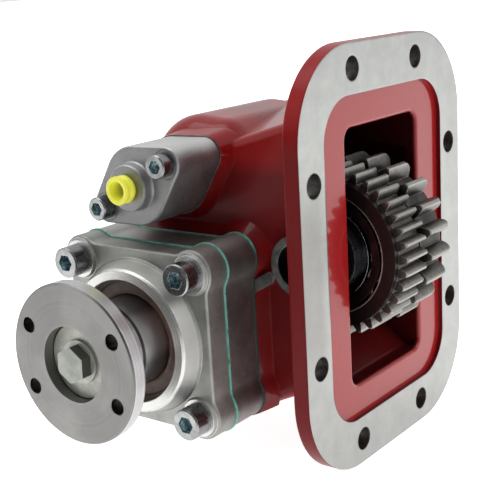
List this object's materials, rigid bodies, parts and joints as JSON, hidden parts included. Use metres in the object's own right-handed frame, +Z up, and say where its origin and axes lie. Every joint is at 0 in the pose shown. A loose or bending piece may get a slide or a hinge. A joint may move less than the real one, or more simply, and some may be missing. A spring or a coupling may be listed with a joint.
{
  "type": "power take off unit",
  "caption": "Side-opening gearbox power take off with a red cast housing, idler gear, air-shifted sliding gear and a round companion flange on the output shaft.",
  "frame": {"origin": "centre of the eight-bolt mounting face, in the plane of the machined face", "axes": "+X leaves the mounting face towards the gearbox, -Y points out of the output flange, +Z is up"},
  "size_m": [0.1685, 0.2169, 0.212],
  "materials": {
    "red_casting": "gloss red paint over cast iron, machined faces bare",
    "adaptor_alloy": "as-cast, dull",
    "cover_alloy": "fine cast with machined rims",
    "cylinder_alloy": "die-cast, dull",
    "gasket_green": "pressed fibre gasket",
    "zinc_steel": "bright zinc plated",
    "turned_steel": "satin turned",
    "bearing_steel": "ground and polished",
    "gear_steel": "oiled, worn at the tooth crests",
    "spring_steel": "oiled",
    "seal_brown": "moulded, matt",
    "rubber_black": "matt",
    "plug_yellow": "soft moulded cap"
  },
  "bodies": {
    "housing": {"housing": "red_casting", "adaptor_gasket": "gasket_green", "adaptor_plate": "adaptor_alloy", "cover_gasket": "gasket_green", "front_cover": "cover_alloy", "cover_screws": "zinc_steel", "shaft_seal": "seal_brown", "front_bearing_outer_ring": "bearing_steel", "rear_bearing_outer_ring": "bearing_steel", "rear_bearing_circlip": "spring_steel", "rear_cap": "zinc_steel", "idler_shaft": "gear_steel", "idler_shaft_circlip": "spring_steel", "idler_bearing_cones": "bearing_steel", "idler_spacers": "gear_steel", "air_cylinder": "cylinder_alloy", "cylinder_gasket": "rubber_black", "cylinder_screws": "zinc_steel", "port_plug": "plug_yellow", "return_spring": "spring_steel"},
    "output_shaft": {"output_shaft": "gear_steel", "companion_flange": "turned_steel", "retaining_washer": "zinc_steel", "lock_washer": "zinc_steel", "flange_bolt": "zinc_steel", "front_bearing_inner_ring": "bearing_steel", "rear_bearing_inner_ring": "bearing_steel", "shaft_circlip": "spring_steel"},
    "front_ball_set": {"front_bearing_cage": "zinc_steel", "front_bearing_balls": "bearing_steel"},
    "rear_ball_set": {"rear_bearing_cage": "zinc_steel", "rear_bearing_balls": "bearing_steel"},
    "sliding_gear": {"sliding_gear": "gear_steel"},
    "shift_rod": {"shift_rod": "turned_steel", "shift_fork": "gear_steel", "fork_pin": "spring_steel", "piston": "cover_alloy", "piston_o_ring": "rubber_black", "piston_screw": "zinc_steel"},
    "idler_gear": {"idler_gear": "gear_steel", "idler_bearing_cups": "bearing_steel"},
    "idler_roller_sets": {"idler_bearing_cages": "gear_steel", "idler_bearing_rollers": "bearing_steel"}
  },
  "joints": [
    {"name": "output_spin", "type": "hinge", "parent": "housing", "child": "output_shaft", "pos_m": [-0.0946, 0, -0.0353], "axis": [0, -1, 0], "continuous": true},
    {"name": "front_ball_orbit", "type": "hinge", "parent": "housing", "child": "front_ball_set", "pos_m": [-0.0946, -0.066, -0.0353], "axis": [0, -1, 0], "continuous": true},
    {"name": "rear_ball_orbit", "type": "hinge", "parent": "housing", "child": "rear_ball_set", "pos_m": [-0.0946, 0.035, -0.0353], "axis": [0, -1, 0], "continuous": true},
    {"name": "gear_slide", "type": "slide", "parent": "output_shaft", "child": "sliding_gear", "axis": [0, 1, 0], "range_m": [0, 0.022]},
    {"name": "rod_shift", "type": "slide", "parent": "housing", "child": "shift_rod", "axis": [0, 1, 0], "range_m": [0, 0.022], "stiffness_N_per_m": 1500, "springref_m": -0.006, "deforming": ["return_spring"]},
    {"name": "idler_spin", "type": "hinge", "parent": "housing", "child": "idler_gear", "pos_m": [-0.0217, 0, 0], "axis": [0, -1, 0], "continuous": true},
    {"name": "idler_roller_orbit", "type": "hinge", "parent": "housing", "child": "idler_roller_sets", "pos_m": [-0.0217, 0, 0], "axis": [0, -1, 0], "continuous": true}
  ],
  "couplings": [
    {"joint": "front_ball_orbit", "follows": "output_spin", "ratio": 0.3963},
    {"joint": "rear_ball_orbit", "follows": "output_spin", "ratio": 0.3957},
    {"joint": "gear_slide", "follows": "rod_shift", "ratio": 1},
    {"joint": "idler_roller_orbit", "follows": "idler_spin", "ratio": 0.5736}
  ]
}
